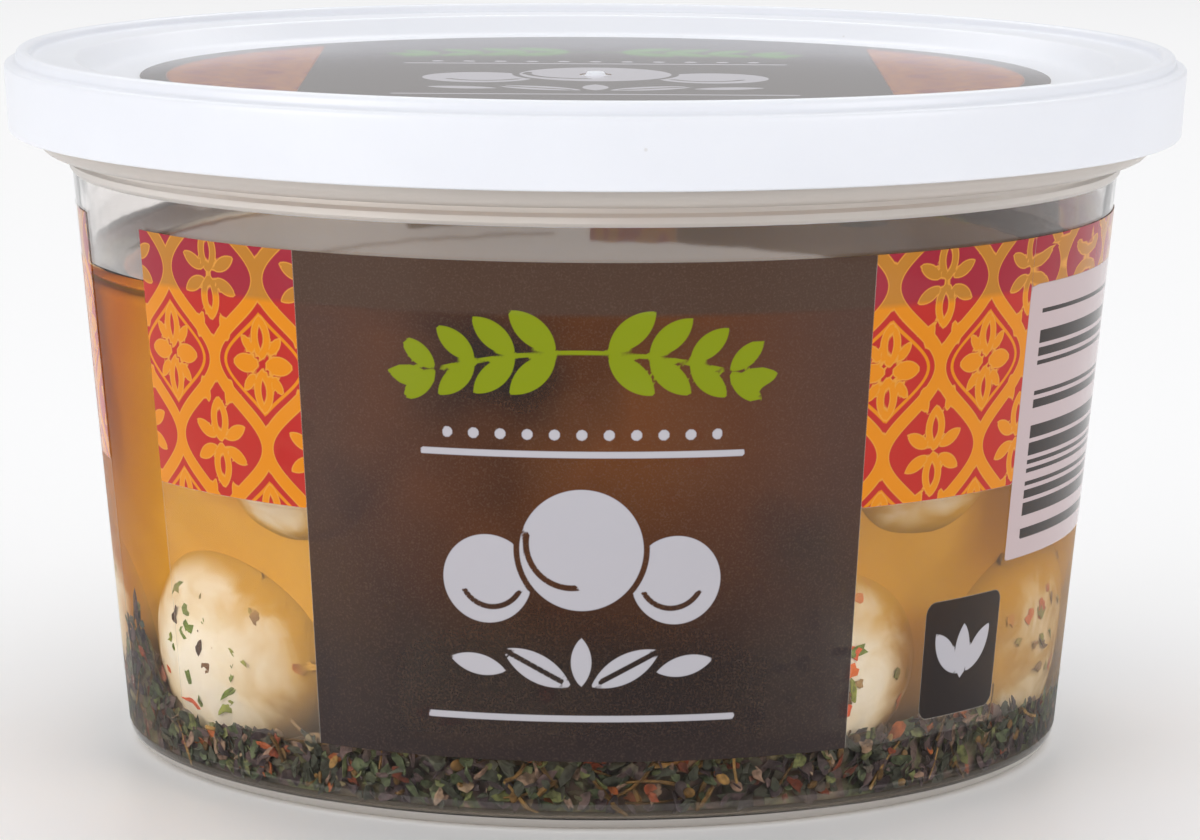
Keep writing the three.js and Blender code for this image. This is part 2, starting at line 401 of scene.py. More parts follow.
def labelInks(degrees, z):
    # Every ink's signed distance at points of the label.
    k = label["mmPerDegree"]
    x = degrees * k
    top = label["offSheet"]

    def field(left, right, low, high, rounding=0.0):
        return boxShape(x, z, left * k, right * k, low, high, rounding)

    brown = np.minimum.reduce([field(a, b, 0, top) for a, b in label["brownPanels"]])
    ornament = np.minimum.reduce([field(a, b, low, top) for a, b, low in label["ornament"]])
    a, b, low, high = label["darkPatch"]
    patch = field(a, b, low, high, 1.2)
    patchX = x - (a + b) / 2 * k
    patchZ = z - (low + high) / 2
    patchLeaves = [leafShape(*turnedBy(patchX - dx, patchZ - 0.4, turn), 5.4, 2.2)
                   for dx, turn in ((-2.4, 38), (0, 0), (2.4, -38))]
    a, b, low, high = label["tableFrame"]
    table = stroke(field(a, b, low, high, 0.8), 0.35)
    rows = stroke((z - low) % 4.1 - 2.0, 0.9)
    rows = np.maximum(rows, boxShape(x, z, a * k + 1.5, b * k - 1.5, low + 1, high - 4))
    heading = boxShape(x, z, a * k + 2, (a + 20) * k, high - 3.2, high - 1.0, 0.4)
    dark = np.minimum.reduce([patch, table, rows, heading])
    green = []
    pale = [np.minimum.reduce(patchLeaves)]
    for a, b in label["brownPanels"]:
        middle = (a + b) / 2 * k
        green.append(sprigShape(x - middle, z - 45.4, 15.5, 5.6, -2.6))
        pale.append(ballsAndLeavesShape(x - middle, z - 24.5, 1.02))
    figure, line = damaskShape(x + 2.1, z - 2.6)
    return {
        "brownInk": brown,
        "ornamentInk": ornament,
        "figureInk": figure,
        "lineInk": line,
        "whiteInk": field(*label["barPanel"]),
        "barInk": field(*label["bars"]),
        "darkInk": dark,
        "greenInk": np.minimum.reduce(green),
        "paleInk": np.minimum.reduce(pale),
    }


def addInks(piece, inks):
    for name, distance in inks.items():
        layer = piece.data.attributes.new(name, "FLOAT", "POINT")
        layer.data.foreach_set("value", np.asarray(distance, np.float32))


def inkMask(material, name, width=0.0, soft=0.05):
    # 1 inside the named ink, 0 outside, with an edge as soft as real print. With a width, its outline instead
    distance = addNode(material, "Attribute", attribute_name=name).outputs["Fac"]
    if width:
        distance = addNode(material, "Math", {0: distance}, operation="ABSOLUTE")
    return addNode(material, "MapRange", {
        "Value": distance, "From Min": width / 2 - soft, "From Max": width / 2 + soft,
        "To Min": 1.0, "To Max": 0.0})


def layered(material, base, layers):
    # Each layer covers what lies under it. It is (mask, colour), or (value, start, end, most, colour), whose
    # mask goes from 0 to most as the value goes from start to end
    for mask, *ramp, colour in layers:
        if ramp:
            start, end, most = ramp
            mask = addNode(material, "MapRange", {
                "Value": mask, "From Min": start, "From Max": end, "To Max": most})
        base = addNode(material, "Mix", {0: mask, 6: base, 7: colour}, data_type="RGBA").outputs[2]
    return base


def objectMillimetres(material):
    # The surface point in the part's own frame, in mm.
    place = addNode(material, "TexCoord")
    return addNode(material, "VectorMath", {
        0: place.outputs["Object"], "Scale": 1 / metresPerMm}, operation="SCALE")


ink = {
    "crimson": "#b82620",
    "crimsonAboveOil": "#9c1c30",
    "yellow": "#dd860a",
    "yellowAboveOil": "#b87820",
    "outline": "#de9a38",
    "brown": "#1d1513",
    # painted sheen: the brown goes greyer towards a panel's sides, for reflected studio light
    "brownPaintedSheen": "#3a3030",
    # painted glow: light shining through the brown ink from the oil behind
    "brownPaintedGlow": "#603312",
    # painted light: the paler brown above the oil, lit through from the bright space behind
    "brownAboveOil": "#452e20",
    "speckle": "#6a5648",
    "green": "#808e04",
    "pale": "#b9b7be",
    "white": "#c2b0b2",
    "dark": "#221b1a",
    "film": "#efe6da",
    "passedLight": "#c4a98c",  # what the inks let through to light the tub's inside
    "edgeSoft": 0.3,  # mm over which the inks change at the oil's edge
    "barStep": 0.42,  # mm
}


def brownInk(material, point, height, aboveOil, ink):
    # A deep brown. Where there is oil behind it, it has a painted warm glow in patches above mid height, for
    # light shining through the ink from the oil, a painted grey sheen towards the panel's sides, for studio
    # light reflected off the curving film, and a paler brown above the oil, painted for the light that comes
    # through from the bright space behind
    brown = ink["brown"]
    if aboveOil:
        glow = addNode(material, "TexNoise", {"Vector": point, "Scale": 0.05, "Detail": 2.0})
        patches = addNode(material, "MapRange", {"Value": glow, "From Min": 0.28, "From Max": 0.52})
        rise = addNode(material, "MapRange", {"Value": height, "From Min": 16.0, "From Max": 36.0})
        warm = addNode(material, "Math", {0: rise, 1: patches}, operation="MULTIPLY")
        inward = addNode(material, "Attribute", attribute_name="brownInk").outputs["Fac"]
        # painted light: the glow patches, the grey sheen towards the sides and the paler brown above the oil
        brown = layered(material, brown, [
            (warm, ink["brownPaintedGlow"]),
            (inward, -21.0, -3.0, 0.65, ink["brownPaintedSheen"]),
            (aboveOil, ink["brownAboveOil"]),
        ])
    # Dust-like speckle of the ink's grain, 0.15 mm wide
    grain = addNode(material, "TexNoise", {"Vector": point, "Scale": 5.0, "Detail": 2.0})
    return layered(material, brown, [(grain, 0.5, 0.8, 0.32, ink["speckle"])])


def printedFilm(name, ink, contactLine=None, strength=0.96, milkiness=0.04, gloss=0.2):
    # Reverse-printed polypropylene film, gravure inks under a smooth gloss: flat fields with crisp edges,
    # a fine pale grain in the dark ink, and a breath of milkiness where the film is bare
    material = newMaterial(name)
    point = objectMillimetres(material)
    height = addNode(material, "SeparateXYZ", {0: point}).outputs["Z"]
    crimson, yellow = ink["crimson"], ink["yellow"]
    aboveOil = None
    if contactLine:
        # Below the oil the inks are lit through from behind and turn warmer
        aboveOil = addNode(material, "MapRange", {
            "Value": height, "From Min": contactLine - ink["edgeSoft"],
            "From Max": contactLine + ink["edgeSoft"]})
        crimson = layered(material, crimson, [(aboveOil, ink["crimsonAboveOil"])])
        yellow = layered(material, yellow, [(aboveOil, ink["yellowAboveOil"])])
    # Bars of uneven width: each step up the label is either inked or bare
    step = addNode(material, "Math", {0: height, 1: ink["barStep"]}, operation="SNAP")
    chance = addNode(material, "TexWhiteNoise", {"W": step}, noise_dimensions="1D")
    inked = addNode(material, "Math", {0: chance, 1: 0.52}, operation="GREATER_THAN")
    masks = {kind: inkMask(material, kind) for kind in ("ornamentInk", "brownInk", "whiteInk", "darkInk")}
    layers = [(masks["ornamentInk"], crimson)]
    for kind, width, colour in (
            ("lineInk", 0.36, yellow), ("figureInk", 0.0, yellow), ("figureInk", 0.1, ink["outline"])):
        inside = addNode(material, "Math", {
            0: masks["ornamentInk"], 1: inkMask(material, kind, width)}, operation="MULTIPLY")
        layers.append((inside, colour))
    barred = addNode(material, "Math", {0: inked, 1: inkMask(material, "barInk")}, operation="MULTIPLY")
    layers += [
        (masks["brownInk"], brownInk(material, point, height, aboveOil, ink)),
        (masks["whiteInk"], ink["white"]),
        (barred, ink["dark"]),
        (masks["darkInk"], ink["dark"]),
        (inkMask(material, "greenInk"), ink["green"]),
        (inkMask(material, "paleInk"), ink["pale"]),
    ]
    covered = masks.pop("darkInk")
    for mask in masks.values():
        covered = addNode(material, "Math", {0: covered, 1: mask}, operation="MAXIMUM")
    covered = addNode(material, "MapRange", {"Value": covered, "To Min": milkiness, "To Max": strength})
    inks = addNode(material, "BsdfPrincipled", {
        "Base Color": layered(material, ink["film"], layers), "Roughness": 0.14, "IOR": 1.49,
        "Specular IOR Level": gloss})
    bare = addNode(material, "BsdfTransparent")
    shown = addNode(material, "MixShader", {0: covered, 1: bare, 2: inks})
    passed = layered(material, "#ffffff", [(covered, ink["passedLight"])])
    return finishMaterial(material, lampsPass(material, shown, passed))


def bareFilm(name, veil):
    # The film's own clear polypropylene: a breath of milkiness over what lies behind, more at its cut edges
    material = newMaterial(name)
    edge = addNode(material, "BsdfPrincipled", {"Base Color": "#e9e4dd", "Roughness": 0.2, "Alpha": veil})
    return finishMaterial(material, edge)


def makeLabel():
    columns = labelColumns()
    rows = labelRows()
    degrees, heights = np.meshgrid(columns, rows)
    outer = wallRadius(heights) + label["offWall"] + label["film"]
    points = aroundAxis(outer, degrees, heights).reshape(-1, 3)
    across = len(columns)
    faces = gridFaces(len(rows), across)
    printed = len(faces)
    # The film's back and its cut edges close the sheet
    innerBottom = len(points)
    innerTop = innerBottom + across
    inner = [aroundAxis(wallRadius(z) + label["offWall"], columns, z) for z in (rows[0], rows[-1])]
    points = np.concatenate([points, *inner])
    topRow = (len(rows) - 1) * across
    for c in range(across - 1):
        faces.append([innerBottom + c + 1, innerBottom + c, innerTop + c, innerTop + c + 1])
        faces.append([c + 1, c, innerBottom + c, innerBottom + c + 1])
        faces.append([topRow + c, topRow + c + 1, innerTop + c + 1, innerTop + c])
    start = [r * across for r in range(len(rows))]
    end = [r * across + across - 1 for r in range(len(rows))]
    faces.append([innerBottom] + start + [innerTop])
    faces.append([innerTop + across - 1] + end[::-1] + [innerBottom + across - 1])
    piece = makePiece("printedLabel", points, faces, [
        printedFilm("gravurePrintedFilm", ink, contactLine=oilTop),
        bareFilm("bareFilm", 0.02),
        bareFilm("filmEdge", 0.3)])
    slots = [0] * printed + [1, 2, 2] * (across - 1) + [2, 2]
    piece.data.polygons.foreach_set("material_index", slots)
    backDegrees = np.concatenate([degrees.ravel(), columns, columns])
    backHeights = np.concatenate([heights.ravel(), columns * 0 + rows[0], columns * 0 + rows[-1]])
    addInks(piece, labelInks(backDegrees, backHeights))
    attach(piece, "root")
    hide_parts("label")
    print("label:", len(faces), "faces")


# The clear tub

def rippled(material):
    # The wall's faint ripple, a centimetre long, which softens what lies behind
    ripple = addNode(material, "TexNoise", {
        "Vector": objectMillimetres(material), "Scale": 0.11, "Detail": 2.0})
    return addNode(material, "Bump", {"Strength": 0.25, "Distance": 0.0002, "Height": ripple})


def clearPolypropylene():
    # Injection-moulded clarified polypropylene where it is dry: glass-like, a little softer than glass
    material = newMaterial("clarifiedPolypropylene")
    plastic = addNode(material, "BsdfPrincipled", {
        "Base Color": "#fbf8f6", "Roughness": 0.04, "IOR": 1.49, "Transmission Weight": 1.0,
        "Specular Tint": (0.9, 0.9, 0.9, 1), "Normal": rippled(material)})
    return finishMaterial(material, lampsPass(material, plastic, "#fcfaf7"))


def oiledPolypropylene(name, gloss):
    # The same plastic with oil behind it. gloss is its share of a hard mirror's shine: little outside,
    # and none where the oil wets it, because both bend light alike
    material = newMaterial(name)
    normal = rippled(material)
    clear = addNode(material, "BsdfRefraction", {
        "Color": "#fcfaf8", "Roughness": 0.03, "IOR": 1.49, "Normal": normal})
    mirror = addNode(material, "BsdfGlossy", {"Roughness": 0.04, "Normal": normal})
    edge = addNode(material, "Fresnel", {"IOR": 1.49, "Normal": normal})
    share = addNode(material, "Math", {0: edge, 1: gloss}, operation="MULTIPLY")
    plastic = addNode(material, "MixShader", {0: share, 1: clear, 2: mirror})
    return finishMaterial(material, lampsPass(material, plastic, "#fcfaf7"))


def frostedPolypropylene():
    # The same plastic where the mould is blasted, at the collar and the foot: half clear, half milky
    material = newMaterial("frostedPolypropylene")
    plastic = addNode(material, "BsdfPrincipled", {
        "Base Color": "#e8e1da", "Roughness": 0.32, "IOR": 1.49, "Transmission Weight": 0.5})
    return finishMaterial(material, lampsPass(material, plastic, "#f6f1ec"))


def makeTub():
    ledge = tub["ledgeBottom"]
    ledgeTop = ledge + tub["ledgeThickness"]
    collarInner = tub["collarRadius"] - tub["thickness"]
    floor = tub["floorTop"]
    wetFrom = floor + tub["innerCornerRadius"]
    low, high, slope = tub["beadLow"], tub["beadHigh"], tub["beadSlope"]
    profile = filleted([
        (0, tub["footRecess"]),
        (tub["footRadius"], tub["footRecess"], 0.4),
        (tub["footRadius"] + 1, 0, 0.4),
        onWall(0, tub["cornerRadius"]),
        onWall(tub["cornerTop"]),
        onWall(wetFrom),
        onWall(oilTop),
        onWall(low, 0.1),
        (wallRadius(low) + tub["beadStands"], low + slope, 0.15),
        (wallRadius(high) + tub["beadStands"], high - slope, 0.15),
        onWall(high, 0.1),
        onWall(ledge, 0.3),
        (tub["collarRadius"], ledge, tub["collarEdge"]),
        (tub["collarRadius"], tub["rimBottom"], 0.2),
        (tub["rimRadius"], tub["rimBottom"] + 0.3, 0.3),
        (tub["rimRadius"], tub["rimTop"], 0.3),
        (collarInner, tub["rimTop"], 0.3),
        (collarInner, ledgeTop, 0.5),
        (innerRadius(ledgeTop), ledgeTop, 0.5),
        (innerRadius(oilTop), oilTop),
        (innerRadius(floor), floor, tub["innerCornerRadius"]),
        (0, floor),
    ])
    points, faces = lathed(profile, tub["segments"])
    piece = makePiece("clearTub", points, faces, [
        clearPolypropylene(), oiledPolypropylene("oilWettedPolypropylene", 0.0), frostedPolypropylene(),
        oiledPolypropylene("polypropyleneOverOil", 0.35)])
    dry, wet, frosted, overOil = range(4)
    slots = []
    for face in faces:
        x, y, z = np.mean([points[i] for i in face], axis=0)
        inside = math.hypot(x, y) < wallRadius(z) - tub["thickness"] / 2
        if inside and wetFrom < z < oilTop:
            slots.append(wet)
        elif z > low + 0.1 or z < tub["footFrosted"]:
            slots.append(frosted)
        elif not inside and tub["cornerTop"] < z < oilTop:
            slots.append(overOil)
        else:
            slots.append(dry)
    piece.data.polygons.foreach_set("material_index", slots)
    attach(piece, "root")
    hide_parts("tub")
    print("tub made")


# The white lid

lid = {
    "radius": lidHigh[0],
    "top": lidHigh[2],
    "skirtBottom": lidLow[2],
    "skirtBottomRadius": 58.1,
    "shoulder": 67.5,
    "beadOuter": 57.4,
    "beadInner": 56.1,
    "ringHeight": 67.9,
    "recessTopRadius": 51.6,
    "recessFloorRadius": 49.6,
    "recessFloor": 65.9,
    "thickness": 1.0,
    "nubRadius": 1.1,
    "nubHeight": 0.4,
    "discRadius": 45.2,
    "discBorder": 2.6,
    "discBrownTo": 28.6,  # half width of the disc's brown middle
    "discLift": 0.03,
    "discFilm": 0.07,
    "play": 0.3,  # between the lid's inside and the tub's rim
    "segments": 300,
}


def whitePolyethylene():
    # Injection-moulded low-density polyethylene: waxy, satin white that light sinks into a little.
    material = newMaterial("mouldedPolyethylene")
    point = objectMillimetres(material)
    mottle = addNode(material, "TexNoise", {"Vector": point, "Scale": 0.09, "Detail": 3.0})
    # Specks of dust, 0.3 mm wide and far apart
    dust = addNode(material, "TexVoronoi", {"Vector": point, "Scale": 0.16}, feature="F1")
    colour = layered(material, "#e8eaf0", [(mottle, "#e2e4eb"), (dust, 0.035, 0.02, 0.35, "#b9b4ae")])
    skin = addNode(material, "TexNoise", {"Vector": point, "Scale": 1.6, "Detail": 4.0})
    bump = addNode(material, "Bump", {"Strength": 0.12, "Distance": 0.0001, "Height": skin})
    plastic = addNode(material, "BsdfPrincipled", {
        "Base Color": colour, "Roughness": 0.36, "IOR": 1.51, "Subsurface Weight": 0.12,
        "Subsurface Radius": (0.0012, 0.0011, 0.001), "Subsurface Scale": 1.0, "Normal": bump})
    return finishMaterial(material, plastic)


def makeLid():
    floor = lid["recessFloor"]
    ring = lid["ringHeight"]
    innerSkirt = tub["rimRadius"] + lid["play"]
    underRing = tub["rimTop"] + lid["play"]
    profile = filleted([
        (0, floor - lid["thickness"]),
        (lid["recessFloorRadius"], floor - lid["thickness"], 0.8),
        (lid["recessTopRadius"], underRing, 0.5),
        (innerSkirt, underRing, 0.4),
        (innerSkirt, lid["skirtBottom"] + 1.2, 0.3),
        (innerSkirt - 0.8, lid["skirtBottom"] + 0.6, 0.3),
        (innerSkirt - 0.4, lid["skirtBottom"], 0.1),
        (lid["skirtBottomRadius"], lid["skirtBottom"], 0.3),
        (lid["radius"], lid["shoulder"] - 0.6, 3.0),
        (lid["radius"], lid["shoulder"], 0.35),
        (lid["beadOuter"], lid["shoulder"] + 0.15, 0.35),
        (lid["beadOuter"], lid["top"], 0.55),
        (lid["beadInner"], lid["top"], 0.55),
        (lid["beadInner"] - 0.2, ring, 0.4),
        (lid["recessTopRadius"], ring, 0.8),
        (lid["recessFloorRadius"], floor, 1.5),
        (lid["nubRadius"], floor, 0.15),
        (lid["nubRadius"] - 0.3, floor + lid["nubHeight"], 0.15),
        (0, floor + lid["nubHeight"]),
    ])
    piece = makePiece("snapLid", *lathed(profile, lid["segments"]), [whitePolyethylene()])
    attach(piece, "root")
    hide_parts("lid")
    print("lid made")


# The lid's print is duller than the label's, because no light comes through it from behind
lidInk = {
    **ink,
    "crimson": "#8c2418",
    "yellow": "#b06418",
    "outline": "#b06418",
    "brown": "#4a3c39",
    "speckle": "#584a46",
    "green": "#5c9038",
    "pale": "#c4c0c8",
}


def discInks(x, y):
    # The lid's round print: brown middle, an ornament field at each side, a plain brown border.
    radius = np.hypot(x, y)
    rim = radius - lid["discRadius"]
    sides = np.maximum(rim + lid["discBorder"], lid["discBrownTo"] - np.abs(x))
    far = rim * 0 + 9.0  # nowhere near any ink of this kind
    figure, line = damaskShape(x, y)
    return {
        "brownInk": np.maximum(rim, -sides),
        "ornamentInk": sides,
        "figureInk": figure,
        "lineInk": line,
        "whiteInk": far,
        "barInk": far,
        "darkInk": far,
        "greenInk": sprigShape(x, y - 26.0, 19.0, 7.2, -3.4),
        "paleInk": ballsAndLeavesShape(x, y + 3.0, 1.35),
    }


def makeLidPrint():
    # The in-mould print that fills the recess: a thin disc round the moulding point.
    rim = lid["discRadius"]
    radii = np.concatenate([[lid["nubRadius"] + 0.5], np.arange(2.0, rim, 0.5), [rim]])
    angles = np.arange(0, 360, 0.6)
    r, degrees = np.meshgrid(radii, angles)
    under = lid["recessFloor"] + lid["discLift"]
    points = aroundAxis(r, degrees, under + lid["discFilm"]).reshape(-1, 3)
    count, around = len(radii), len(angles)
    faces = gridFaces(around, count, closed=True)
    printed = len(faces)
    hole, edge = len(points), len(points) + around
    points = np.concatenate([points, *(aroundAxis(radius, angles, under) for radius in (radii[0], rim))])
    for a in range(around):
        b = (a + 1) % around
        faces.append([edge + a, hole + a, hole + b, edge + b])
        faces.append([hole + b, hole + a, a * count, b * count])
        faces.append([edge + a, edge + b, b * count + count - 1, a * count + count - 1])
    piece = makePiece("lidPrint", points, faces, [
        printedFilm("lidPrintFilm", lidInk, strength=1.0, gloss=0.5), bareFilm("lidPrintBack", 0.3)])
    slots = [0] * printed + [1] * (len(faces) - printed)
    piece.data.polygons.foreach_set("material_index", slots)
    addInks(piece, discInks(points[:, 0], points[:, 1]))
    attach(piece, "root")
    print("lid print:", len(faces), "faces")


# The cloudy oil, by where in the tub it is and what shines through it

cloud = {
    "left": "#b0661c",
    "middle": "#cb9a28",
    "bottom": "#8e7c6c",
    "paleWisp": "#dfb048",
    "overCheese": "#dec687",
    "overHerbs": "#a69a98",
}


def hazeColour(material, point):
    # Golden amber, duller at the bottom, redder in the clear strip at the left, with paler wisps where the
    # cheese has clouded it
    axes = addNode(material, "SeparateXYZ", {0: point})
    wisps = addNode(material, "TexNoise", {
        "Vector": point, "Scale": 0.06, "Detail": 3.0, "Distortion": 0.6})
    return layered(material, cloud["bottom"], [
        (axes.outputs["Z"], 8.5, 18.0, 1.0, cloud["middle"]),
        (wisps, 0.48, 0.72, 0.7, cloud["paleWisp"]),
        (axes.outputs["X"], -36.0, -43.0, 1.0, cloud["left"]),
    ])


def hazed(material, colour, near, reach, bump=None):
    # The deeper a surface lies behind the wall, the more the cloudy oil covers it: its colour goes over to
    # the near haze's, then to the oil's, and its shading to that of an even wall of oil.
    # Gives the colour and the normal
    point = objectMillimetres(material)
    axes = addNode(material, "SeparateXYZ", {0: point})
    flat = addNode(material, "CombineXYZ", {"X": axes.outputs["X"], "Y": axes.outputs["Y"]})
    radius = addNode(material, "VectorMath", {0: flat}, operation="LENGTH")
    wall = addNode(material, "Math", {
        0: axes.outputs["Z"], 1: tub["taper"], 2: innerRadius(0)}, operation="MULTIPLY_ADD")
    depth = addNode(material, "Math", {0: wall, 1: radius.outputs["Value"]}, operation="SUBTRACT")
    # Strands of thicker cloud make the edge of what shows uneven
    strands = addNode(material, "TexNoise", {
        "Vector": point, "Scale": 0.16, "Detail": 3.0, "Distortion": 0.8})
    uneven = addNode(material, "MapRange", {
        "Value": strands, "From Min": 0.35, "From Max": 0.65, "To Min": -0.9, "To Max": 1.3})
    # Above the bed, one side of the tub is clouded more
    side = addNode(material, "MapRange", {
        "Value": axes.outputs["X"], "From Min": oil["thickFrom"], "From Max": oil["thickTo"],
        "To Max": oil["thicker"]}, interpolation_type="SMOOTHSTEP")
    aboveBed = addNode(material, "MapRange", {
        "Value": axes.outputs["Z"], "From Min": herbs["bedDepth"], "From Max": herbs["bedDepth"] + 4.0})
    thicker = addNode(material, "Math", {0: side, 1: aboveBed}, operation="MULTIPLY")
    for more in (uneven, thicker):
        depth = addNode(material, "Math", {0: depth, 1: more}, operation="ADD")
    haze, amber = [
        addNode(material, "MapRange", {"Value": depth, "From Min": oil["hazeStart"], "From Max": end},
                interpolation_type="SMOOTHSTEP")
        for end in (reach, oil["amberDepth"])]
    over = layered(material, near, [(amber, hazeColour(material, point))])
    even = addNode(material, "VectorMath", {0: flat}, operation="NORMALIZE")
    own = bump or addNode(material, "NewGeometry").outputs["Normal"]
    normal = addNode(material, "Mix", {0: haze, 4: own, 5: even}, data_type="VECTOR")
    return layered(material, colour, [(haze, over)]), normal.outputs[1]


def oilFace():
    # Herb oil: a clear amber liquid with a wet, mirror-like surface
    material = newMaterial("herbOil")
    liquid = addNode(material, "BsdfPrincipled", {
        "Base Color": "#fff8ea", "Roughness": 0.0, "IOR": 1.47, "Transmission Weight": 1.0})
    return finishMaterial(material, lampsPass(material, liquid, "#fffdf6"))


def oilAtWall():
    # The same oil where it wets the plastic: it bends light but mirrors none
    material = newMaterial("herbOilAtWall")
    liquid = addNode(material, "BsdfRefraction", {"Color": "#fff8ea", "Roughness": 0.0, "IOR": 1.47})
    return finishMaterial(material, lampsPass(material, liquid, "#fffdf6"))


def cloudedOil():
    # Whey and fat drawn from the cheese make the oil opaque a centimetre in: soft, even, no gloss of its own
    material = newMaterial("whey-cloudedOil")
    point = objectMillimetres(material)
    body = addNode(material, "BsdfPrincipled", {
        "Base Color": hazeColour(material, point), "Roughness": 1.0, "Specular IOR Level": 0.0})
    return finishMaterial(material, body)


def makeOil():
    level, creep, into = oil["level"], oil["meniscus"], oil["intoWall"]
    low = tub["floorTop"] - into
    edge = innerRadius(level) + into
    # The meniscus falls off steeply from the wall and ends level
    surface = [[edge - creep * (1 - math.exp(-k / 2)) * 2.4, level + creep * math.exp(-k)]
               for k in range(1, 7)]
    profile = filleted([
        (0, low),
        (innerRadius(low) + into, low, tub["innerCornerRadius"] + into),
        (innerRadius(oilTop) + into, oilTop),
    ]) + [np.array(p) for p in surface] + [np.array([0, level])]
    points, faces = lathed(profile, tub["segments"])
    shell = makePiece("oilSurface", points, faces, [oilFace(), oilAtWall()])
    atWall = []
    for face in faces:
        x, y, z = np.mean([points[i] for i in face], axis=0)
        wetsWall = z < level - 0.1 or math.hypot(x, y) > edge
        atWall.append(int(wetsWall and z > tub["floorTop"] + tub["innerCornerRadius"]))
    shell.data.polygons.foreach_set("material_index", atWall)
    deep, bottom = oil["cloudDepth"], oil["cloudBottom"]
    top = level - oil["cloudBelowFace"]
    core = filleted([
        (0, bottom),
        (innerRadius(bottom) - deep, bottom, 3.0),
        (innerRadius(top) - deep + oil["cloudFlare"], top, 1.0),
        (0, top),
    ])
    body = makePiece("cloudedOil", *lathed(core, 120), [cloudedOil()])
    for piece in (shell, body):
        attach(piece, "root")
    print("oil made")


# The cheese

cheese = {
    "seed": 1023,
    "radius": 11.3,
    "spread": 0.5,
    "turnSpread": 2.0,
    "heightSpread": 0.8,
    "squash": (0.93, 0.06),  # least, and how much more there may be
    "wallGap": 1.1,
    "rings": [
        {"count": 9, "pitch": 40.2, "first": -53.5, "height": 13.9},
        {"count": 8, "pitch": 42, "first": -38, "height": 35.6},
    ],
    "lump": 0.022,  # of the radius
}


def makeRandom(seed):
    state = seed

    def draw():
        nonlocal state
        state = (state * 1664525 + 1013904223) % 4294967296
        return state / 4294967296
    return draw


def ballPlaces():
    # The centre, radius, squash and turn of each ball, by the same rule as the solids
    draw = makeRandom(cheese["seed"])
    least, more = cheese["squash"]
    places = []
    for ring in cheese["rings"]:
        for i in range(ring["count"]):
            radius = cheese["radius"] + (draw() * 2 - 1) * cheese["spread"]
            z = ring["height"] + (draw() * 2 - 1) * cheese["heightSpread"]
            angle = ring["first"] + i * ring["pitch"] + (draw() * 2 - 1) * cheese["turnSpread"]
            squash = least + draw() * more
            turn = draw() * math.pi
            reach = innerRadius(z) - cheese["wallGap"] - radius
            places.append((aroundAxis(reach, angle, z), radius, squash, turn))
    return places


def lumps(direction, seed, amount):
    # Smooth uneven swelling of a hand-formed ball
    random = np.random.default_rng(seed)
    total = np.zeros(len(direction))
    for k in range(7):
        axis = random.normal(size=3) * (1.2 + 0.55 * k)
        total += np.sin(direction @ axis + random.uniform(0, 6.28)) / (1 + 0.6 * k)
    return 1 + amount * total


def unitBall(subdivisions):
    mesh = bmesh.new()
    bmesh.ops.create_icosphere(mesh, subdivisions=subdivisions, radius=1)
    points = np.array([v.co for v in mesh.verts])
    faces = [[v.index for v in f.verts] for f in mesh.faces]
    mesh.free()
    return points, faces


def freshMozzarella():
    # Stretched-curd cheese: moist, milky white that light sinks into, stained cream by the oil
    material = newMaterial("mozzarellaCurd")
    point = objectMillimetres(material)
    stain = addNode(material, "TexNoise", {"Vector": point, "Scale": 0.17, "Detail": 4.0})
    colour = layered(material, "#f0f3f9", [(stain, 0.42, 0.72, 1.0, "#e9e6de")])
    grain = addNode(material, "TexNoise", {"Vector": point, "Scale": 0.9, "Detail": 5.0})
    bump = addNode(material, "Bump", {"Strength": 0.35, "Distance": 0.0003, "Height": grain})
    seen, normal = hazed(material, colour, cloud["overCheese"], oil["cheeseHaze"], bump)
    curd = addNode(material, "BsdfPrincipled", {
        "Base Color": seen, "Roughness": 0.6, "IOR": 1.4, "Specular IOR Level": 0.1,
        "Subsurface Weight": 0.15, "Subsurface Radius": (0.002, 0.0017, 0.0012), "Subsurface Scale": 1.0,
        "Normal": normal})
    return finishMaterial(material, curd)


def makeCheese():
    direction, ballFaces = unitBall(5)
    points = []
    faces = []
    for i, (centre, radius, squash, turn) in enumerate(ballPlaces()):
        shape = direction * lumps(direction, 40 + i, cheese["lump"])[:, None]
        shape = shape * [1, 1, squash]
        rotation = np.array(Matrix.Rotation(turn, 3, "Z") @ Matrix.Rotation(turn * 0.2, 3, "Y"))
        faces += [[len(points) + v for v in face] for face in ballFaces]
        points += (centre + radius * shape @ rotation.T).tolist()
    piece = makePiece("cheeseBalls", points, faces, [freshMozzarella()])
    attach(piece, "root")
    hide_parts("cheese_balls")
    print("cheese:", len(faces), "faces")


# Herbs, chilli and seeds

herbs = {
    "seed": 19,
    "bedDepth": 7,
    "swell": 1.3,
    "drifts": [(-71, 10, 6.5), (52, 2.5, 9), (172, 4.5, 8)],  # degrees, height, spread in degrees
    "stems": {"count": 150, "length": (2.0, 6.0), "width": (0.25, 0.6), "tilt": 0.3},
    "seeds": {"count": 160, "least": (0.45, 0.35, 0.2), "most": (0.85, 0.65, 0.35), "tilt": 0.4},
}
# The flat bits, of each kind: how many, range of lengths and of widths, thickness, corners, tilt in radians
flakes = {
    "herbLeaves": (3050, (0.9, 2.9), (0.5, 1.6), 0.2, 8, 0.5),
    "pepperFlakes": (230, (0.8, 2.2), (0.6, 1.5), 0.22, 9, 0.4),
    "leafFlecks": (340, (0.7, 2.8), (0.6, 1.6), 0.25, 9, 0.15),
    "pepperFlecks": (113, (0.9, 2.6), (0.7, 1.5), 0.25, 9, 0.15),
}


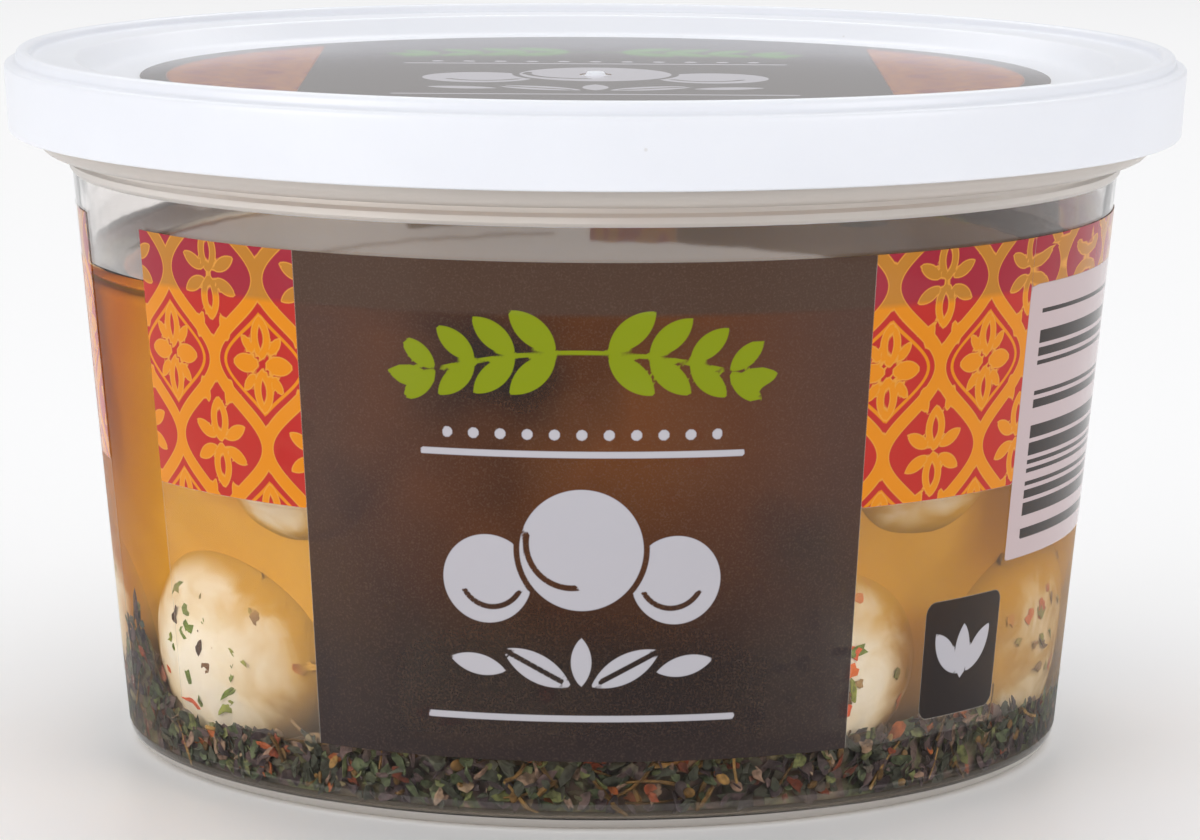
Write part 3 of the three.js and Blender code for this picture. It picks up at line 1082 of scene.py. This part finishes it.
def bedHeight(radius, degrees):
    # Height of the settled bed: low mounds, and drifts against the wall
    angle = np.radians(degrees)
    mounds = np.sin(3 * angle + 0.8) * 0.6 + np.sin(5 * angle - 0.05 * radius) * 0.4
    fromWall = np.maximum(0, wallRadius(herbs["bedDepth"]) - radius) / 7
    drift = 0
    for middle, height, spread in herbs["drifts"]:
        turn = ((degrees - middle + 180) % 360 - 180) / spread
        drift = np.maximum(drift, height * np.exp(-turn ** 2 - fromWall ** 2))
    return herbs["bedDepth"] + herbs["swell"] * mounds * (0.4 + radius / 75) + drift


def flakeShapes(random, length, width, thickness, corners):
    # Torn, wavy flakes in their own frames, (count, points, 3), and the faces of one flake
    count = len(length)
    around = np.arange(corners) * 2 * math.pi / corners
    ragged = 1 + np.clip(random.normal(0, 0.26, (count, corners)), -0.5, 0.6)
    long = (length[:, None] / 2) * np.cos(around) * ragged
    wide = (width[:, None] / 2) * np.sin(around) * (1 - 0.3 * np.abs(np.cos(around)) ** 3) * ragged
    bend = random.normal(0, 0.16, (count, 1))
    twist = random.normal(0, 0.12, (count, 1))
    wave = random.uniform(0, 6.28, (count, 1))

    def surface(share, lift):
        u = long * share
        v = wide * share
        w = bend * u ** 2 / length[:, None] * 2 + twist * u * v / width[:, None]
        w = w + 0.05 * length[:, None] * np.sin(u / length[:, None] * 7 + v * 2 + wave)
        return np.stack([u, v, w + lift], axis=-1)

    half = thickness / 2
    middle = np.zeros((count, 1, 3))
    up = middle + [0, 0, half]
    down = middle - [0, 0, half]
    rings = [surface(share, half * lift) for share, lift in ((0.55, 1), (1.0, 0.4), (1.0, -0.4), (0.55, -1))]
    faces = []
    last = 4 * corners + 1
    for i in range(corners):
        j = (i + 1) % corners
        faces.append([0, 1 + i, 1 + j])
        for ring in range(3):
            a = 1 + ring * corners
            faces.append([a + i, a + corners + i, a + corners + j, a + j])
        a = 1 + 3 * corners
        faces.append([a + i, last, a + j])
    return np.concatenate([up, *rings, down], axis=1), faces


def rodShapes(random, length, width, sides=5, steps=4):
    # Short bent stems
    count = len(length)
    length = length[:, None, None]
    width = width[:, None, None]
    along = np.linspace(-0.5, 0.5, steps)[None, :, None]
    around = np.arange(sides) * 2 * math.pi / sides
    bend = random.normal(0, 0.25, (count, 1, 1))
    thin = 1 - 0.5 * random.random((count, 1, 1)) * (along + 0.5)
    u = length * along + 0 * around
    v = width / 2 * np.cos(around) * thin + bend * length * along ** 2
    w = width / 2 * np.sin(around) * thin
    shape = np.stack([u, v, w], axis=-1).reshape(count, -1, 3)
    faces = []
    for s in range(steps - 1):
        for i in range(sides):
            j = (i + 1) % sides
            faces.append([s * sides + i, s * sides + j, (s + 1) * sides + j, (s + 1) * sides + i])
    faces.append(list(range(sides))[::-1])
    faces.append([(steps - 1) * sides + i for i in range(sides)])
    return shape, faces


def setDown(random, shapes, centres, normals, tilt):
    # Lays each shape with its flat side along its normal, spun at random and tilted by about tilt radians
    count = len(centres)
    normals = normals + random.normal(0, tilt, (count, 3))
    normals /= np.linalg.norm(normals, axis=1)[:, None]
    across = random.normal(size=(count, 3))
    across -= np.sum(across * normals, axis=1)[:, None] * normals
    across /= np.linalg.norm(across, axis=1)[:, None]
    third = np.cross(normals, across)
    frames = np.stack([across, third, normals], axis=1)
    return centres[:, None, :] + shapes @ frames


def joined(shapes, faces):
    count, size = shapes.shape[:2]
    return shapes.reshape(-1, 3), [[n * size + v for v in face] for n in range(count) for face in faces]


def outsideCheese(centres, margin):
    keep = np.ones(len(centres), bool)
    for centre, radius, *rest in ballPlaces():
        keep &= np.linalg.norm(centres - centre, axis=1) > radius + margin
    return keep


def bedPlaces(random, count):
    # Places in the bed against the wall, most of them where the clear wall shows them
    degrees = random.uniform(-180, 180, count)
    depth = random.exponential(1.6, count) + 0.5
    lowest = tub["floorTop"] + 0.7
    top = bedHeight(innerRadius(8) - depth, degrees)
    z = lowest + (top - lowest) * random.random(count) ** 0.9
    radius = innerRadius(z) - depth
    radius = np.minimum(radius, innerRadius(z) - 0.5 - np.maximum(0, 2.6 - (z - tub["floorTop"])) * 0.6)
    centres = aroundAxis(radius, degrees, z)
    outward = aroundAxis(np.ones(count), degrees, 0 * degrees)
    return centres, outward


def scatterOnCheese(random, count):
    # Places on the balls' sides that face the wall
    places = ballPlaces()
    pick = random.integers(0, len(places), count)
    centres = np.array([places[i][0] for i in pick])
    radii = np.array([places[i][1] for i in pick])
    squash = np.array([places[i][2] for i in pick])
    outward = centres * [1, 1, 0]
    outward /= np.linalg.norm(outward, axis=1)[:, None]
    direction = outward + random.normal(0, 0.55, (count, 3))
    direction /= np.linalg.norm(direction, axis=1)[:, None]
    stretch = np.stack([np.ones(count), np.ones(count), squash], axis=-1)
    return centres + direction * radii[:, None] * stretch, direction


def soakedPlant(name, roughness, grainSize, grain, first, steps):
    # Dried plant bits soaked in oil: matt fibre with a faint wet sheen, darker where the fibre is thick.
    # Each bit carries a tone from 0 to 1: past each step's start it takes that step's colour
    material = newMaterial(name)
    tone = addNode(material, "Attribute", attribute_name="tone").outputs["Fac"]
    layers = [(tone, begin, begin + 0.04, 1.0, colour) for begin, colour in steps]
    veins = addNode(material, "TexNoise", {
        "Vector": objectMillimetres(material), "Scale": 1 / grainSize, "Detail": 4.0, "Roughness": 0.6})
    colour = layered(material, first, layers + [(veins, 0.42, 0.6, grain, "#222126")])
    seen, normal = hazed(material, colour, cloud["overHerbs"], oil["plantHaze"])
    plant = addNode(material, "BsdfPrincipled", {
        "Base Color": seen, "Roughness": roughness, "IOR": 1.45, "Specular IOR Level": 0.15,
        "Normal": normal})
    return finishMaterial(material, plant)


def driedLeaf():
    # Torn oregano, basil and parsley: mostly dark grey-green, some black-brown, some still green or straw
    return soakedPlant("soakedHerbLeaf", 0.5, 0.7, 0.6, "#4c5452", [
        (0.3, "#4c4552"), (0.5, "#625660"), (0.64, "#586856"), (0.8, "#74805c"),
        (0.9, "#96827e"), (0.97, "#b8a898")])


def driedChilli():
    # Flakes of dried red pepper: translucent skin, brick red to orange
    return soakedPlant("driedPepperFlake", 0.35, 1.0, 0.5, "#704038", [(0.4, "#94503e"), (0.75, "#b06842")])


def driedStem():
    # Stalk bits and pepper seeds: straw coloured, matt
    return soakedPlant("driedStalk", 0.6, 0.8, 0.5, "#5c4a32", [(0.4, "#7d6543"), (0.85, "#a98d60")])


def brightFleck():
    # Bits that lie on the cheese, against the wall: green leaf, brown seed skin
    return soakedPlant("herbFleck", 0.5, 0.8, 0.3, "#6f8c34", [
        (0.35, "#94a44e"), (0.62, "#4a3630"), (0.8, "#7c5a3c"), (0.9, "#b09468")])


def brightPepper():
    # Pepper skin that lies on the cheese: orange, still bright in the thin oil there
    return soakedPlant("pepperFleck", 0.35, 1.2, 0.15, "#de5a26", [(0.5, "#ec7a38"), (0.85, "#c4442a")])


def makeBits(name, random, shapes, faces, centres, normals, tilt, material):
    keep = outsideCheese(centres, -0.3)
    shapes, centres, normals = shapes[keep], centres[keep], normals[keep]
    laid = setDown(random, shapes, centres, normals, tilt)
    points, allFaces = joined(keptInside(laid), faces)
    piece = makePiece(name, points, allFaces, [material])
    tone = np.repeat(random.random(len(centres)), shapes.shape[1])
    addInks(piece, {"tone": tone})
    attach(piece, "root")
    print(name + ":", len(centres), "pieces,", len(allFaces), "faces")


def keptInside(shapes):
    # Nothing pokes into the wall or the floor
    x, y, z = shapes[..., 0], shapes[..., 1], np.maximum(shapes[..., 2], tub["floorTop"] + 0.1)
    z = np.minimum(z, oil["level"] - 0.3)
    radius = np.hypot(x, y)
    corner = np.maximum(0, tub["innerCornerRadius"] + tub["floorTop"] - z)
    most = innerRadius(z) - 0.12 - corner ** 2 / tub["innerCornerRadius"] * 0.55
    shrink = np.minimum(1, most / np.maximum(radius, 1e-6))
    return np.stack([x * shrink, y * shrink, z], axis=-1)


def makeBed(leaf):
    # The bed's own body, hidden under its bits
    angles = np.arange(0, 360, 3.0)
    radii = np.array([6, 12, 18, 24, 29, 33, 36, 39, 41, 43, 44.3])
    r, degrees = np.meshgrid(radii, angles)
    bumps = 0.35 * np.sin(r * 1.7 + degrees * 0.21) + 0.3 * np.sin(degrees * 0.63 - r)
    top = bedHeight(r, degrees) - 1.1 + bumps
    points = aroundAxis(r, degrees, top).reshape(-1, 3).tolist()
    low = tub["floorTop"] + 0.15
    count, around = len(radii), len(angles)
    edgeLow = len(points)
    points += aroundAxis(radii[-1] - 0.9, angles, low).tolist()
    points += [[0, 0, float(np.mean(top[:, 0]))], [0, 0, low]]
    middleTop, middleLow = len(points) - 2, len(points) - 1
    faces = gridFaces(around, count, closed=True)
    for a in range(around):
        b = (a + 1) % around
        faces.append([middleTop, a * count, b * count])
        faces.append([a * count + count - 1, edgeLow + a, edgeLow + b, b * count + count - 1])
        faces.append([edgeLow + a, middleLow, edgeLow + b])
    piece = makePiece("herbBed", points, faces, [leaf])
    addInks(piece, {"tone": 0.5 + 0.5 * np.sin(np.arange(len(points)) * 1.7)})
    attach(piece, "root")
    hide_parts("herb_bed")
    print("herb bed:", len(faces), "faces")


def makeFlakes(name, random, places, material):
    count, lengths, widths, thickness, corners, tilt = flakes[name]
    length = random.uniform(*lengths, count)
    width = random.uniform(*widths, count)
    shapes, faces = flakeShapes(random, length, width, thickness, corners)
    makeBits(name, random, shapes, faces, *places(random, count), tilt, material)


def makeHerbs():
    random = np.random.default_rng(herbs["seed"])
    leaf, stem = driedLeaf(), driedStem()
    makeBed(leaf)
    makeFlakes("herbLeaves", random, bedPlaces, leaf)
    makeFlakes("pepperFlakes", random, bedPlaces, driedChilli())

    kind = herbs["stems"]
    count = kind["count"]
    length = random.uniform(*kind["length"], count)
    width = random.uniform(*kind["width"], count)
    shapes, faces = rodShapes(random, length, width)
    makeBits("herbStems", random, shapes, faces, *bedPlaces(random, count), kind["tilt"], stem)

    kind = herbs["seeds"]
    count = kind["count"]
    direction, faces = unitBall(2)
    size = random.uniform(kind["least"], kind["most"], (count, 3))
    shapes = direction[None] * size[:, None, :]
    makeBits("pepperSeeds", random, shapes, faces, *bedPlaces(random, count), kind["tilt"], stem)

    makeFlakes("leafFlecks", random, scatterOnCheese, brightFleck())
    makeFlakes("pepperFlecks", random, scatterOnCheese, brightPepper())


# Studio

studio = {
    "cameraDistance": 0.5003,  # metres, as are the lamps' places and sizes
    "cameraHeight": 0.11108,
    "nearest": 0.01,
    "focalPixels": 5032.6,
    "imageWidth": 1200,
    "pitch": 0.1584,
    "roll": 0.0059,
    "yaw": 0.0013,
    "sensor": 36,
    "floor": "#fafafb",
    "floorReach": 3000,
    "worldStrength": 0.54,
}
# place, size, watts and the point each lamp is aimed at
lamps = {
    "leftSoftbox": ((-0.8, -0.6, 0.2), (0.6, 0.32), 3.9, (0, 0, 0.03)),
    "rightSoftbox": ((0.85, -0.6, 0.2), (0.6, 0.32), 3.1, (0, 0, 0.03)),
    "topSoftbox": ((0.0, -0.1, 0.9), (0.9, 0.9), 2.1, (0, 0, 0.03)),
    "backSoftbox": ((0.0, 1.0, 1.1), (1.8, 0.7), 8.8, (0, 0.25, 0)),
}


def makeCamera():
    data = bpy.data.cameras.new("camera")
    data.sensor_width = studio["sensor"]
    data.lens = studio["focalPixels"] / studio["imageWidth"] * studio["sensor"]
    data.clip_start = studio["nearest"]
    camera = bpy.data.objects.new("camera", data)
    bpy.context.scene.collection.objects.link(camera)
    camera.matrix_world = (
        Matrix.Translation((0, -studio["cameraDistance"], studio["cameraHeight"]))
        @ Matrix.Rotation(-studio["yaw"], 4, "Z")
        @ Matrix.Rotation(math.pi / 2 - studio["pitch"], 4, "X")
        @ Matrix.Rotation(studio["roll"], 4, "Z")
    )
    bpy.context.scene.camera = camera


def makeLamp(name, place, size, watts, aim):
    data = bpy.data.lights.new(name, "AREA")
    data.shape = "RECTANGLE"
    data.size, data.size_y = size
    data.energy = watts
    lamp = bpy.data.objects.new(name, data)
    lamp.location = place
    lamp.rotation_euler = (Vector(aim) - Vector(place)).to_track_quat("-Z", "Y").to_euler()
    lamp.visible_camera = False
    bpy.context.scene.collection.objects.link(lamp)


def makeStudio():
    world = bpy.data.worlds.new("studio")
    world.use_nodes = True
    background = world.node_tree.nodes["Background"]
    background.inputs["Color"].default_value = (1, 1, 1, 1)
    background.inputs["Strength"].default_value = studio["worldStrength"]
    bpy.context.scene.world = world
    for name, lamp in lamps.items():
        makeLamp(name, *lamp)
    size = studio["floorReach"]
    corners = [(-size, -size, 0), (size, -size, 0), (size, size, 0), (-size, size, 0)]
    floor = makePiece("floor", corners, [[0, 1, 2, 3]], [paleFloor()])
    scene = bpy.context.scene
    scene.view_settings.view_transform = "Standard"
    scene.cycles.max_bounces = 16
    scene.cycles.transmission_bounces = 14
    scene.cycles.transparent_max_bounces = 24
    print("studio made")


def paleFloor():
    # Satin laminate board, almost white
    material = newMaterial("satinLaminate")
    board = addNode(material, "BsdfPrincipled", {
        "Base Color": studio["floor"], "Roughness": 0.42, "IOR": 1.5})
    return finishMaterial(material, board)


makeCamera()
makeStudio()
makeTub()
makeLid()
makeLidPrint()
makeLabel()
makeOil()
makeCheese()
makeHerbs()

bpy.context.view_layer.update()
